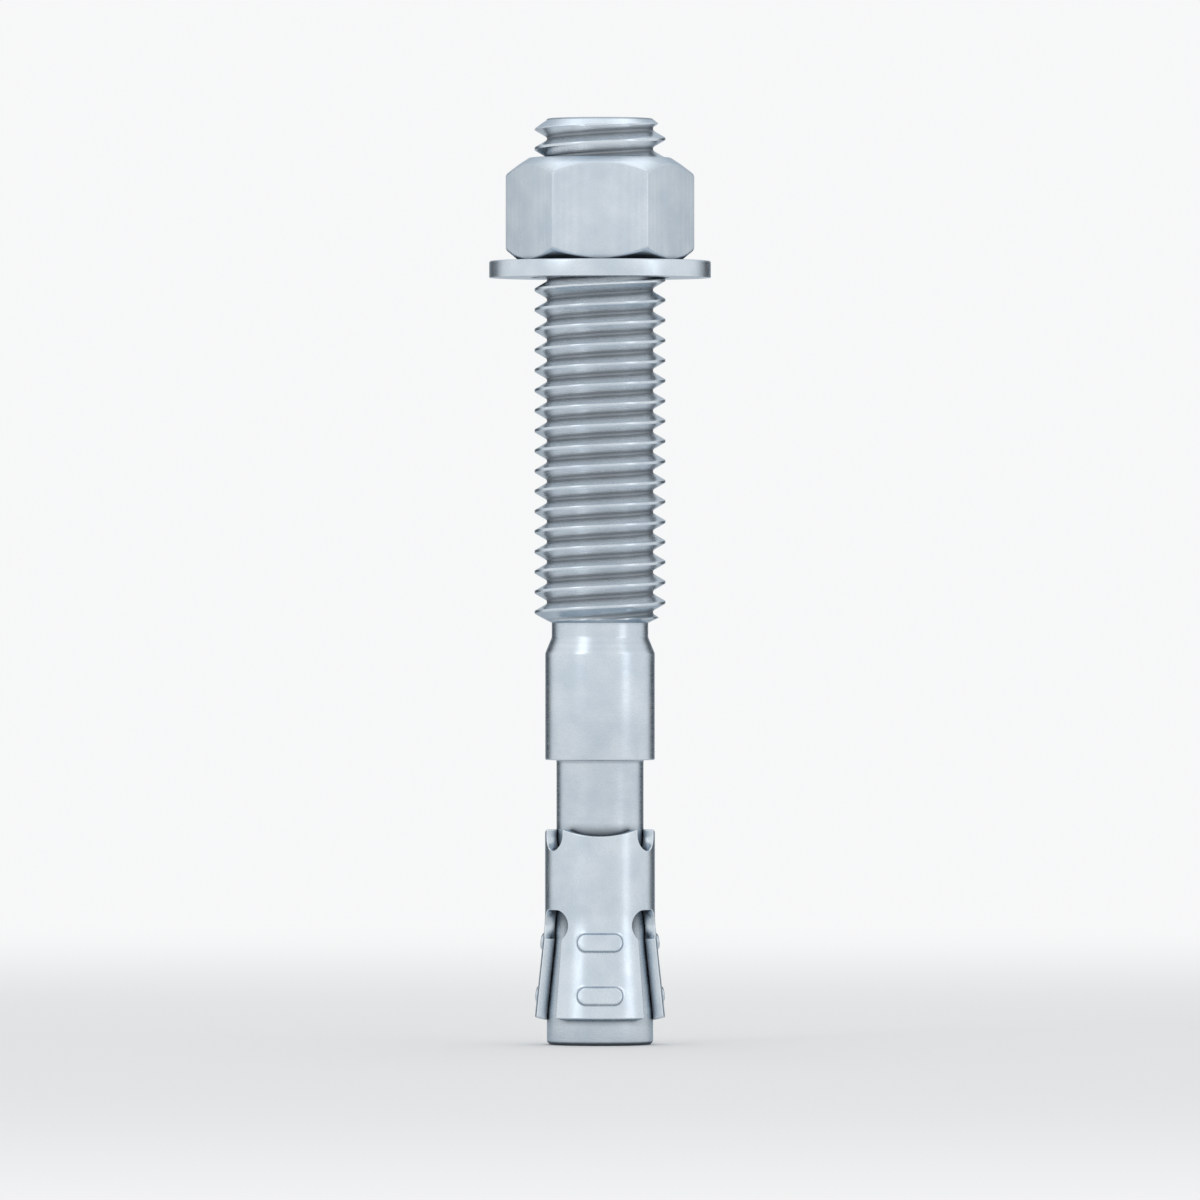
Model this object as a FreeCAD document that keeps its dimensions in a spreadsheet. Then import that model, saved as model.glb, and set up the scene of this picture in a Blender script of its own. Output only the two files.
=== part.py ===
"""Wedge anchor, half inch size: tapered stud, three-leaf expansion clip, washer and hexagon nut.

The stud stands upright on its cone end, with +Z along its axis and the origin at the centre of
that end. All sizes are in millimetres and degrees. Front is -Y, where one flat of the nut and one
leaf of the clip face.
"""
import FreeCAD, Part
import math
import os
import Sketcher

# Driving dimensions
SIZES = {
    # Stud, one cold-formed piece, from its top down
    "stud_length": 89.8,
    "thread_dia": 12.7,
    "point_dia": 10.1,
    "point_height": 1.0,
    "runout_height": 0.8,
    "groove_dia": 9.36,
    "groove_width": 1.4,
    "collar_taper_height": 1.54,
    "collar_dia": 10.62,
    "collar_length": 10.36,
    "collar_edge": 0.15,
    "neck_dia": 8.44,
    "taper_angle": 6.1,
    "cone_dia": 10.3,
    "cone_land": 3.25,
    "foot_chamfer": 0.3,
    # Expansion clip, one folded sheet round the neck, its leaves spread on the cone
    "neck_clearance": 0.05,
    "seat_clearance": 0.05,
    "clip_travel": 6.6,
    "sheet_thickness": 1.06,
    "sleeve_height": 9.05,
    "leaf_length": 9.55,
    "leaf_end_rise": 0.25,
    "slot_angle": 34.0,
    "relief_width": 4.4,
    "relief_height": 3.06,
    "relief_drop": 0.4,
    "notch_width": 3.0,
    "notch_depth": 2.14,
    "tab_dip": 0.74,
    "tab_arc_radius": 10.67,
    "seam_width": 0.6,
    "emboss_length": 4.4,
    "emboss_width": 1.7,
    "emboss_height": 0.32,
    "emboss_root": 0.4,
    "upper_emboss_drop": 1.97,
    "lower_emboss_drop": 7.1,
    # Washer
    "washer_dia": 21.5,
    "washer_thickness": 1.65,
    "washer_clearance": 0.4,
    "washer_edge": 0.12,
    # Hexagon nut, screwed down on the washer
    "thread_projection": 3.8,
    "nut_height": 10.0,
    "across_flats": 15.875,
    "nut_clearance": 0.08,
    "countersink": 0.17,
    "crown_land": 0.25,
    "crown_height": 0.65,
    "top_corner_cut": 1.6,
    "bottom_corner_cut": 1.0,
    # How far a cutting profile runs past the metal it cuts
    "overcut": 1.0,
}

# Leaves of the clip, evenly round it
LEAVES = 3

# Sizes worked out from the driving dimensions
DERIVED = {
    # Stud profile: radii, and heights from the foot, with the collar clear of the clip's travel
    "cone_radius": "cone_dia / 2",
    "neck_radius": "neck_dia / 2",
    "foot_radius": "cone_radius - foot_chamfer",
    "taper_slope": "tan(taper_angle * 1 deg)",
    "cone_top": "cone_land + (cone_radius - neck_radius) / taper_slope",
    "clip_inner_radius": "neck_radius + neck_clearance",
    "bend_height": "cone_land + (cone_radius + seat_clearance - clip_inner_radius) / taper_slope",
    "collar_bottom": "bend_height + sleeve_height + clip_travel",
    "collar_radius": "collar_dia / 2",
    "collar_edge_radius": "collar_radius - collar_edge",
    "collar_edge_top": "collar_bottom + collar_edge",
    "collar_top": "collar_bottom + collar_length",
    "groove_bottom": "collar_top + collar_taper_height",
    "groove_top": "groove_bottom + groove_width",
    "groove_radius": "groove_dia / 2",
    "thread_bottom": "groove_top + runout_height",
    "thread_top": "stud_length - point_height",
    "thread_radius": "thread_dia / 2",
    "point_radius": "point_dia / 2",
    # Clip section: heights from the bend line, where the sleeve turns into the leaves
    "clip_outer_radius": "clip_inner_radius + sheet_thickness",
    "outer_leaf_length": "leaf_length - leaf_end_rise",
    "tip_inner_radius": "clip_inner_radius + leaf_length * taper_slope",
    "tip_outer_radius": "clip_outer_radius + outer_leaf_length * taper_slope",
    "slot_inner_radius": "clip_inner_radius / 2",
    "slot_outer_radius": "tip_outer_radius + overcut",
    "trim_bottom": "leaf_length + overcut",
    "relief_half_run": "(relief_width - relief_height) / 2",
    "relief_radius": "relief_height / 2",
    "notch_radius": "notch_width / 2",
    "notch_low_centre": "sleeve_height - notch_depth + notch_radius",
    "notch_high_centre": "sleeve_height + notch_radius + overcut",
    "tab_arc_centre": "sleeve_height - tab_dip + tab_arc_radius",
    "punch_reach": "tip_outer_radius + emboss_height + overcut",
    "emboss_radius": "emboss_width / 2",
    "emboss_half_run": "(emboss_length - emboss_width) / 2",
    "layer_inner_top": "clip_outer_radius - emboss_root",
    "layer_outer_top": "clip_outer_radius + emboss_height",
    "layer_inner_tip": "layer_inner_top + leaf_length * taper_slope",
    "layer_outer_tip": "layer_outer_top + leaf_length * taper_slope",
    "layer_angle": f"360 / {LEAVES}",
    "seam_half_width": "seam_width / 2",
    # Washer and nut
    "nut_bottom": "stud_length - thread_projection - nut_height",
    "washer_bottom": "nut_bottom - washer_thickness",
    "washer_radius": "washer_dia / 2",
    "washer_hole_radius": "thread_radius + washer_clearance",
    "flat_radius": "across_flats / 2",
    "corner_radius": "across_flats / 2 / cos(30 deg)",
    "bore_radius": "thread_radius + nut_clearance",
    "sink_radius": "bore_radius + countersink",
    "sink_top": "nut_height - countersink",
    "crown_radius": "sink_radius + crown_land",
    "crown_foot": "nut_height - crown_height",
    "rim_radius": "corner_radius + overcut",
    "top_cut_slope": "(top_corner_cut - crown_height) / (corner_radius - flat_radius)",
    "top_rim": "nut_height - top_corner_cut - overcut * top_cut_slope",
    "bottom_cut_slope": "bottom_corner_cut / (corner_radius - flat_radius)",
    "bottom_rim": "bottom_corner_cut + overcut * bottom_cut_slope",
}

doc = FreeCAD.newDocument("wedge_anchor")
sheet = doc.addObject("Spreadsheet::Sheet", "Sizes")


def fill_sheet():
    """Write every size in a row of its own: its name, and its number or formula."""
    rows = list(SIZES.items()) + [(name, "=" + rule) for name, rule in DERIVED.items()]
    for row, (name, content) in enumerate(rows, start=1):
        sheet.set(f"A{row}", name)
        sheet.set(f"B{row}", str(content))
        sheet.setAlias(f"B{row}", name)
    doc.recompute()


def size(name):
    """The present value of a named size, turned round where the name starts with a minus sign."""
    if name.startswith("-"):
        return -size(name[1:])
    return float(getattr(sheet, name))


def formula(name):
    """The expression that reads a named size from the sheet, as a length above zero."""
    reading = "-Sizes." + name[1:] if name.startswith("-") else "Sizes." + name
    return f"-({reading})" if size(name) < 0 else reading


def new_body(label, height=None):
    """A body with its own name, raised to a named height where one is given."""
    body = doc.addObject("PartDesign::Body", label)
    body.Label = label
    if height:
        body.setExpression("Placement.Base.z", formula(height))
    return body


def origin_part(body, role):
    """One of the body's own origin planes or axes."""
    return next(f for f in body.Origin.OriginFeatures if f.Role == role)


def new_sketch(body, name, plane):
    """An empty sketch on one of the body's origin planes."""
    sketch = body.newObject("Sketcher::SketchObject", name)
    sketch.AttachmentSupport = [(origin_part(body, plane), "")]
    sketch.MapMode = "FlatFace"
    return sketch


def point_at(across, up):
    """A point of a sketch, from two size names, None being on the axis."""
    return FreeCAD.Vector(size(across) if across else 0, size(up) if up else 0, 0)


def bind(sketch, kind, where, name):
    """Add a dimension to a sketch and tie it to a named size."""
    index = sketch.addConstraint(Sketcher.Constraint(kind, *where, abs(size(name))))
    sketch.setExpression(f"Constraints[{index}]", formula(name))


def fix_point(sketch, edge, end, across, up):
    """Hold one point of a sketch at two named distances from its origin, None being on the axis."""
    point, origin = (edge, end), (-1, 1)
    for kind, name, axis in (("DistanceX", across, -2), ("DistanceY", up, -1)):
        if name is None:
            sketch.addConstraint(Sketcher.Constraint("PointOnObject", *point, axis))
        else:
            where = point + origin if size(name) < 0 else origin + point
            bind(sketch, kind, where, name)


def draw_outline(sketch, corners):
    """A closed outline of straight lines through corners, each a pair of size names."""
    points = [point_at(across, up) for across, up in corners]
    edges = [
        sketch.addGeometry(Part.LineSegment(start, end), False)
        for start, end in zip(points, points[1:] + points[:1])
    ]
    for edge, following in zip(edges, edges[1:] + edges[:1]):
        sketch.addConstraint(Sketcher.Constraint("Coincident", edge, 2, following, 1))
    for edge, (across, up) in zip(edges, corners):
        fix_point(sketch, edge, 1, across, up)


def draw_pill(sketch, first, second, radius):
    """A closed outline with two round ends, about two centres, the second right of or above the first."""
    centres = [point_at(*first), point_at(*second)]
    run = (centres[1] - centres[0]).normalize()
    side = FreeCAD.Vector(run.y, -run.x, 0) * size(radius)
    start = math.atan2(side.y, side.x)
    turns = {"near": (centres[0], start - math.pi, start), "far": (centres[1], start, start + math.pi)}
    near, far = [
        sketch.addGeometry(
            Part.ArcOfCircle(Part.Circle(centre, FreeCAD.Vector(0, 0, 1), size(radius)), begin, end), False
        )
        for centre, begin, end in turns.values()
    ]
    right = sketch.addGeometry(Part.LineSegment(centres[0] + side, centres[1] + side), False)
    left = sketch.addGeometry(Part.LineSegment(centres[1] - side, centres[0] - side), False)
    for ends in ((near, 2, right, 1), (right, 2, far, 1), (far, 2, left, 1), (left, 2, near, 1)):
        sketch.addConstraint(Sketcher.Constraint("Tangent", *ends))
    sketch.addConstraint(Sketcher.Constraint("Equal", near, far))
    bind(sketch, "Radius", (near,), radius)
    fix_point(sketch, near, 3, *first)
    fix_point(sketch, far, 3, *second)


def draw_circle(sketch, radius, up=None):
    """A circle on the upright axis, at a named height."""
    circle = sketch.addGeometry(
        Part.Circle(point_at(None, up), FreeCAD.Vector(0, 0, 1), size(radius)), False
    )
    bind(sketch, "Radius", (circle,), radius)
    fix_point(sketch, circle, 3, None, up)


def turn(body, kind, name, sketch, angle=None):
    """Revolve a sketch about its upright axis, all round or by a named angle about its plane."""
    feature = body.newObject(f"PartDesign::{kind}", name)
    feature.Profile = sketch
    feature.ReferenceAxis = (sketch, ["V_Axis"])
    feature.Angle = 360
    if angle:
        feature.Midplane = True
        feature.setExpression("Angle", formula(angle))
    body.Tip = feature
    doc.recompute()
    return feature


def punch(body, name, sketch, depth, forward=False):
    """Cut a sketch through to the back, or forward of its plane, to a named depth."""
    pocket = body.newObject("PartDesign::Pocket", name)
    pocket.Profile = sketch
    pocket.Reversed = forward
    pocket.setExpression("Length", formula(depth))
    body.Tip = pocket
    doc.recompute()
    return pocket


def repeat_round(body, name, features):
    """Repeat the features of one leaf for each leaf, evenly round the upright axis."""
    pattern = body.newObject("PartDesign::PolarPattern", name)
    pattern.Originals = features
    pattern.Axis = (origin_part(body, "Z_Axis"), [""])
    pattern.Angle = 360
    pattern.Occurrences = LEAVES
    body.Tip = pattern
    doc.recompute()


def make_stud():
    """The stud: threaded shank, groove, collar, slim neck and the cone that spreads the clip."""
    body = new_body("anchor_stud")
    section = new_sketch(body, "stud_section", "XZ_Plane")
    draw_outline(section, [
        (None, None),
        ("foot_radius", None),
        ("cone_radius", "foot_chamfer"),
        ("cone_radius", "cone_land"),
        ("neck_radius", "cone_top"),
        ("neck_radius", "collar_bottom"),
        ("collar_edge_radius", "collar_bottom"),
        ("collar_radius", "collar_edge_top"),
        ("collar_radius", "collar_top"),
        ("groove_radius", "groove_bottom"),
        ("groove_radius", "groove_top"),
        ("thread_radius", "thread_bottom"),
        ("thread_radius", "thread_top"),
        ("point_radius", "stud_length"),
        (None, "stud_length"),
    ])
    turn(body, "Revolution", "stud_turned", section)
    return body


def make_clip():
    """The clip: a sheet rolled round the neck, with its leaves bent out over the cone."""
    body = new_body("expansion_clip", "bend_height")

    # The raised pills of the leaves: a skin over the front leaf, trimmed to their outline
    layer = new_sketch(body, "emboss_layer", "YZ_Plane")
    draw_outline(layer, [
        ("-layer_inner_tip", "-leaf_length"),
        ("-layer_outer_tip", "-leaf_length"),
        ("-layer_outer_top", None),
        ("-layer_inner_top", None),
    ])
    skin = turn(body, "Revolution", "emboss_skin", layer, "layer_angle")
    trim = new_sketch(body, "emboss_outlines", "XZ_Plane")
    draw_outline(trim, [
        ("-punch_reach", "-trim_bottom"),
        ("punch_reach", "-trim_bottom"),
        ("punch_reach", "overcut"),
        ("-punch_reach", "overcut"),
    ])
    for height in ("-upper_emboss_drop", "-lower_emboss_drop"):
        draw_pill(trim, ("-emboss_half_run", height), ("emboss_half_run", height), "emboss_radius")
    trimmed = punch(body, "emboss_trim", trim, "punch_reach", forward=True)
    repeat_round(body, "embossments", [skin, trimmed])

    # The sheet itself, rolled into a sleeve that flares below the bend
    section = new_sketch(body, "sheet_section", "XZ_Plane")
    draw_outline(section, [
        ("tip_inner_radius", "-leaf_length"),
        ("tip_outer_radius", "-outer_leaf_length"),
        ("clip_outer_radius", None),
        ("clip_outer_radius", "sleeve_height"),
        ("clip_inner_radius", "sleeve_height"),
        ("clip_inner_radius", None),
    ])
    turn(body, "Revolution", "sheet_rolled", section)

    # What parts the leaves: a slot with radial edges, a relief hole and a notch in the upper edge
    slot = new_sketch(body, "slot_section", "YZ_Plane")
    draw_outline(slot, [
        ("slot_inner_radius", "-trim_bottom"),
        ("slot_outer_radius", "-trim_bottom"),
        ("slot_outer_radius", "-relief_drop"),
        ("slot_inner_radius", "-relief_drop"),
    ])
    slots = turn(body, "Groove", "leaf_slot", slot, "slot_angle")
    holes = new_sketch(body, "punched_holes", "XZ_Plane")
    draw_pill(
        holes, ("-relief_half_run", "-relief_drop"), ("relief_half_run", "-relief_drop"), "relief_radius"
    )
    draw_pill(holes, (None, "notch_low_centre"), (None, "notch_high_centre"), "notch_radius")
    punched = punch(body, "relief_and_notch", holes, "punch_reach")

    # The hollow curve in the upper edge of each tab
    curve = new_sketch(body, "tab_curve", "XZ_Plane")
    draw_circle(curve, "tab_arc_radius", "tab_arc_centre")
    curved = punch(body, "tab_edge", curve, "punch_reach", forward=True)
    repeat_round(body, "all_leaves", [slots, punched, curved])

    # The seam at the back, where the rolled sheet's two ends meet between a notch and its relief hole
    seam = new_sketch(body, "seam_outline", "XZ_Plane")
    draw_outline(seam, [
        ("-seam_half_width", "-relief_drop"),
        ("seam_half_width", "-relief_drop"),
        ("seam_half_width", "notch_low_centre"),
        ("-seam_half_width", "notch_low_centre"),
    ])
    punch(body, "seam", seam, "punch_reach")
    return body


def make_washer():
    """The washer: a flat stamped ring with its upper outer edge broken."""
    body = new_body("washer", "washer_bottom")
    ring = new_sketch(body, "washer_outline", "XY_Plane")
    draw_circle(ring, "washer_radius")
    draw_circle(ring, "washer_hole_radius")
    blank = body.newObject("PartDesign::Pad", "washer_blank")
    blank.Profile = ring
    blank.setExpression("Length", formula("washer_thickness"))
    body.Tip = blank
    doc.recompute()
    rim = [
        f"Edge{number}"
        for number, edge in enumerate(blank.Shape.Edges, start=1)
        if edge.Vertexes[0].Point.z > size("washer_thickness") / 2
        and edge.BoundBox.XLength > 2 * size("washer_hole_radius") + size("washer_edge")
    ]
    broken = body.newObject("PartDesign::Chamfer", "washer_rim")
    broken.Base = (blank, rim)
    broken.setExpression("Size", formula("washer_edge"))
    body.Tip = broken
    doc.recompute()
    return body


def make_nut():
    """The hexagon nut: corners turned down at both ends, a crowned top and a countersunk bore."""
    body = new_body("hex_nut", "nut_bottom")
    hexagon = new_sketch(body, "nut_outline", "XY_Plane")
    circle = Part.Circle(FreeCAD.Vector(0, 0, 0), FreeCAD.Vector(0, 0, 1), size("corner_radius"))
    guide = hexagon.addGeometry(circle, True)
    bind(hexagon, "Radius", (guide,), "corner_radius")
    fix_point(hexagon, guide, 3, None, None)
    sixth = circle.LastParameter / 6
    corners = [circle.value(sixth * number) for number in range(6)]
    sides = [
        hexagon.addGeometry(Part.LineSegment(start, end), False)
        for start, end in zip(corners, corners[1:] + corners[:1])
    ]
    for side, following in zip(sides, sides[1:] + sides[:1]):
        hexagon.addConstraint(Sketcher.Constraint("Coincident", side, 2, following, 1))
        hexagon.addConstraint(Sketcher.Constraint("PointOnObject", side, 1, guide))
    for side in sides[1:]:
        hexagon.addConstraint(Sketcher.Constraint("Equal", sides[0], side))
    hexagon.addConstraint(Sketcher.Constraint("PointOnObject", sides[0], 1, -1))
    blank = body.newObject("PartDesign::Pad", "nut_blank")
    blank.Profile = hexagon
    blank.setExpression("Length", formula("nut_height"))
    body.Tip = blank
    doc.recompute()

    ends = new_sketch(body, "nut_ends", "XZ_Plane")
    draw_outline(ends, [
        ("crown_radius", "nut_height"),
        ("flat_radius", "crown_foot"),
        ("rim_radius", "top_rim"),
        ("rim_radius", "nut_height"),
    ])
    draw_outline(ends, [
        ("flat_radius", None),
        ("rim_radius", None),
        ("rim_radius", "bottom_rim"),
    ])
    turn(body, "Groove", "corners_turned", ends)

    bore = new_sketch(body, "bore_section", "XZ_Plane")
    draw_outline(bore, [
        (None, None),
        ("sink_radius", None),
        ("bore_radius", "countersink"),
        ("bore_radius", "sink_top"),
        ("sink_radius", "nut_height"),
        (None, "nut_height"),
    ])
    turn(body, "Groove", "nut_bore", bore)
    return body


def check(bodies):
    """Stop if any object failed or any piece isn't one sound solid."""
    doc.recompute()
    for item in doc.Objects:
        failed = [word for word in ("Invalid", "Error") if word in item.State]
        if failed:
            raise RuntimeError(f"{item.Label} is {failed[0]}")
    for body in bodies:
        shape = body.Shape
        if shape.isNull() or not shape.isValid() or len(shape.Solids) != 1:
            raise RuntimeError(f"{body.Label} isn't one sound solid")
        print(f"{body.Label}: {shape.Volume:.2f} mm3, z {shape.BoundBox.ZMin:.3f} to {shape.BoundBox.ZMax:.3f}")


fill_sheet()
pieces = [make_stud(), make_clip(), make_washer(), make_nut()]
check(pieces)
os.makedirs("parts", exist_ok=True)
for piece in pieces:
    piece.Shape.exportStep(f"parts/{piece.Label}.step")
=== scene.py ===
"""Looks of the wedge anchor: true thread, crowned nut, pressed washer and rolled clip, zinc plated.

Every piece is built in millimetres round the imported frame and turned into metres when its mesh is
made. Heights are measured up the anchor's axis from its foot, and angles round it from +X, as seen
from above.
"""
import math
from typing import NamedTuple

import bmesh
import bpy
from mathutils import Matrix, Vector, geometry


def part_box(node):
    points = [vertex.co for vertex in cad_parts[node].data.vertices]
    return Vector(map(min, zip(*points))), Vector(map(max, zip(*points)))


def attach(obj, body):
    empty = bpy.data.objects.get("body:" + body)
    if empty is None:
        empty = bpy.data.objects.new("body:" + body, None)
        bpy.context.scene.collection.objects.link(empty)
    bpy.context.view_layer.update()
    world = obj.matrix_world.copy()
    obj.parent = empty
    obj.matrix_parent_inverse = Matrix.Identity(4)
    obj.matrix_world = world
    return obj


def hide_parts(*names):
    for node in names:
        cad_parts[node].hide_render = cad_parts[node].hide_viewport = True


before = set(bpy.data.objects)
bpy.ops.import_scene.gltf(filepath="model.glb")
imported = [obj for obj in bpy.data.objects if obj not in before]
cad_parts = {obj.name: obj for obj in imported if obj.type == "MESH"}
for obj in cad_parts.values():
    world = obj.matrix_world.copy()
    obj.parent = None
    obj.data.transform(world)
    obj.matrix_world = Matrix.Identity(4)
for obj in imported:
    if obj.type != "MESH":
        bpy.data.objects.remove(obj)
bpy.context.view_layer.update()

MM = 0.001
TURN = 2 * math.pi
BACK = TURN / 4
SMOOTH_UP_TO = math.radians(32)
WELD_DISTANCE = 1e-7
ROUNDING_STEPS = 4
ROUNDING_SHARE = 0.45


def box_mm(node):
    """The lowest and highest corner of a CAD node, in millimetres."""
    return [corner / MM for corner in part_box(node)]


# The frame's own sizes
STUD_HIGH = box_mm("anchor_stud")[1]
WASHER_LOW, WASHER_HIGH = box_mm("washer")
NUT_LOW, NUT_HIGH = box_mm("hex_nut")
STUD_TOP = STUD_HIGH.z
THREAD_RADIUS = STUD_HIGH.x

# Thread: half inch with 13 turns to the inch, right-handed
INCH = 25.4
PITCH = INCH / 13
THREAD_DEPTH = 0.6134 * PITCH
ROOT_RADIUS = THREAD_RADIUS - THREAD_DEPTH
FLANK_SLOPE = 1 / math.tan(math.radians(30))
CREST_HALF_WIDTH = PITCH / 16
CREST_ROUNDING = 0.05
ROOT_ROUNDING = 0.16
CUT_ROUNDING = 0.12
LEFT_CREST_HEIGHT = 88.81

# Rows of the thread's mesh from a crest to the next root, as shares of the pitch
CREST_TO_ROOT_STEPS = (0.0, 0.04, 0.0625, 0.085, 0.15, 0.23, 0.31, 0.365, 0.41, 0.455, 0.5)

# Stud, apart from its thread: radii and heights
POINT_RADIUS = 5.05
POINT_HEIGHT = 1.0
POINT_RIM = 0.12
THREAD_BOTTOM = 41.7
GROOVE_TOP = 40.9
GROOVE_BOTTOM = 39.5
GROOVE_RADIUS = 4.68
COLLAR_TOP = 37.96
COLLAR_BOTTOM = 27.6
COLLAR_RADIUS = 5.31
NECK_RADIUS = 4.22
CONE_TOP = 11.95
CONE_LAND = 3.25
CONE_RADIUS = 5.15
FOOT_RADIUS = 4.85
FOOT_EDGE = 0.3
POINT_SLOPE = (THREAD_RADIUS - POINT_RADIUS) / POINT_HEIGHT
RUN_OUT_SLOPE = (THREAD_RADIUS - GROOVE_RADIUS) / (THREAD_BOTTOM - GROOVE_TOP)
STUD_COLUMNS = 132

# How far the stud's edges are rounded
POINT_ROUNDING = 0.11
FOOT_ROUNDING = 0.12
GROOVE_ROUNDING = 0.12
SHOULDER_ROUNDING = 0.14
STEP_ROUNDING = 0.16
LAND_ROUNDING = 0.2
NECK_ROUNDING = 0.4

# Nut
ACROSS_FLATS = NUT_HIGH.y - NUT_LOW.y
NUT_HEIGHT = NUT_HIGH.z - NUT_LOW.z
NUT_SIDES = 6
NUT_HALF_SIDE = TURN / NUT_SIDES / 2
NUT_CORNER_ROUNDING = 0.2
NUT_MINOR_RADIUS = 5.42
NUT_THREAD_GAP = 0.07
NUT_SINK_RADIUS = 6.6
NUT_CROWN_RADIUS = 6.85
NUT_CROWN_HEIGHT = 0.65
NUT_TOP_CUT = 1.6
NUT_BOTTOM_CUT = 1.0
NUT_FOOT_STEP = 0.09
NUT_EDGE = 0.12
NUT_CORNER_EASE = 0.12
NUT_FOOT_ROUNDING = 0.1
NUT_SHOULDER_ROUNDING = 0.08
NUT_CROWN_ROUNDING = 0.14
NUT_CREST_ROUNDING = 0.06

# Columns of the nut's mesh, in degrees from a corner
NUT_CORNER_COLUMNS = (-0.9, -0.6, -0.3, 0, 0.3, 0.6, 0.9)
NUT_SIDE_START = 2
NUT_SIDE_STEPS = 27

# Washer
WASHER_HOLE_RADIUS = 6.75
WASHER_ROLLED_EDGE = 0.22
WASHER_CUT_EDGE = 0.07
WASHER_COLUMNS = 192

# Clip: the bend line and both ends by their heights above the foot, the rest by heights from the bend
SHEET = 1.06
CLIP_RADIUS = 5.33
BEND_HEIGHT = CONE_TOP
BEND_HALF_LENGTH = 0.9
SLEEVE_HEIGHT = 9.05
LEAVES = 3
SECTOR = TURN * CLIP_RADIUS / LEAVES
LEAF_LENGTH = 9.3
LEAF_END_TILT = 0.25
LEAF_SLOPE = math.tan(math.radians(6.1))
CLIP_TOP = BEND_HEIGHT + SLEEVE_HEIGHT
CLIP_BOTTOM = BEND_HEIGHT - LEAF_LENGTH - LEAF_END_TILT
SLOT_HALF_ANGLE = math.radians(17)
RELIEF_HALF_RUN = 0.67
RELIEF_RADIUS = 1.53
RELIEF_DROP = 0.4
NOTCH_RADIUS = 1.5
NOTCH_DEPTH = 2.14
TAB_DIP = 0.74
TAB_ARC_RADIUS = 10.67
SEAM_HALF_WIDTH = 0.3
PILL_HALF_RUN = 1.35
PILL_RADIUS = 0.85
PILL_HEIGHT = 0.3
PILL_WALL = 0.17
PILL_DROPS = (1.97, 7.1)
SHEET_EDGE = 0.1
BLANK_CORNER_ROUNDING = 0.16
BLANK_CORNER_TURN = math.radians(35)

# Clip's mesh: how far apart its points are, and how many there are
SHEET_GRID = 0.24
OUTLINE_SPACING = 0.14
OUTLINE_MARGIN = 0.55 * SHEET_GRID
PILL_MARGIN = 0.08
ARC_SPACING = 0.12
ARC_LEAST_STEPS = 4
TAB_STEPS = 40
PILL_RUN_STEPS = 20
SHEET_EDGE_STEPS = 3
NORMAL_STEP = 0.01
SAME_POINT = 1e-4

# Rows of points along a pill's outline, by how far outside it they are, as shares of its wall
PILL_ROWS = (-1, -0.5, 0, 0.5, 1)

# How the blank is cut into triangles: only inside its outline, points as near as this being one
INSIDE_OUTLINE = 1
SAME_CORNER = 1e-6


# Helpers

def add_object(name, data):
    """A new object in the scene for a mesh, a lamp or a camera."""
    holder = bpy.data.objects.new(name, data)
    bpy.context.scene.collection.objects.link(holder)
    return holder


def new_piece(name, points, faces, material, normals=None):
    """A mesh object from points in millimetres, welded, smooth on its curves and sharp at its edges.

    normals may give each point's own, where it is known, or a zero vector where it isn't.
    """
    mesh = bpy.data.meshes.new(name)
    mesh.from_pydata([(x * MM, y * MM, z * MM) for x, y, z in points], [], faces)
    weld(mesh)
    mesh.shade_smooth()
    mesh.set_sharp_from_angle(angle=SMOOTH_UP_TO)
    if normals:
        mesh.normals_split_custom_set_from_vertices(normals)
    mesh.materials.append(material)
    return add_object(name, mesh)


def weld(mesh):
    """Merge points that lie on each other and turn every face outwards."""
    work = bmesh.new()
    work.from_mesh(mesh)
    bmesh.ops.remove_doubles(work, verts=work.verts, dist=WELD_DISTANCE)
    bmesh.ops.recalc_face_normals(work, faces=work.faces)
    work.to_mesh(mesh)
    work.free()


def around(radius, angle, height):
    """A point at a radius, angle and height."""
    return radius * math.cos(angle), radius * math.sin(angle), height


def even_angles(count):
    """Angles evenly round a turn."""
    return [TURN * step / count for step in range(count)]


def blended_low(first, second, rounding):
    """The lower of two values, rounded where they meet."""
    overlap = max(rounding - abs(first - second), 0)
    return min(first, second) - overlap * overlap / (4 * rounding)


def blended_high(first, second, rounding):
    """The higher of two values, rounded where they meet."""
    return -blended_low(-first, -second, rounding)


def corner_curve(before, here, after, rounding):
    """Points of the short curve that rounds a corner between its two neighbours."""
    back, on = before - here, after - here
    reach = min(rounding, ROUNDING_SHARE * back.length, ROUNDING_SHARE * on.length)
    start, end = here + back.normalized() * reach, here + on.normalized() * reach
    shares = [step / ROUNDING_STEPS for step in range(ROUNDING_STEPS + 1)]
    return [start.lerp(here, share).lerp(here.lerp(end, share), share) for share in shares]


def rounded(corners):
    """A line of (radius, height) through (radius, height, rounding) corners, its two ends left sharp."""
    places = [Vector(corner[:2]) for corner in corners]
    line = []
    for index, (radius, height, rounding) in enumerate(corners):
        if rounding and 0 < index < len(corners) - 1:
            curve = corner_curve(*places[index - 1:index + 2], rounding)
            line += [(point.x, point.y) for point in curve]
        else:
            line.append((radius, height))
    return line


def ring_faces(columns, rows):
    """Faces of a ring of columns round the axis, each of so many rows, numbered column by column."""
    faces = []
    for column in range(columns):
        here, after = column * rows, (column + 1) % columns * rows
        faces += [(here + row, after + row, after + row + 1, here + row + 1) for row in range(rows - 1)]
    return faces


def lathe(line, angles):
    """Points and faces of a line of (radius, height) turned about the axis."""
    points = [around(radius, angle, height) for angle in angles for radius, height in line]
    return points, ring_faces(len(angles), len(line))


def joined(*parts):
    """Several lists of points and faces as one."""
    points, faces = [], []
    for some_points, some_faces in parts:
        start = len(points)
        points += some_points
        faces += [tuple(start + corner for corner in face) for face in some_faces]
    return points, faces


# Thread

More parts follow.
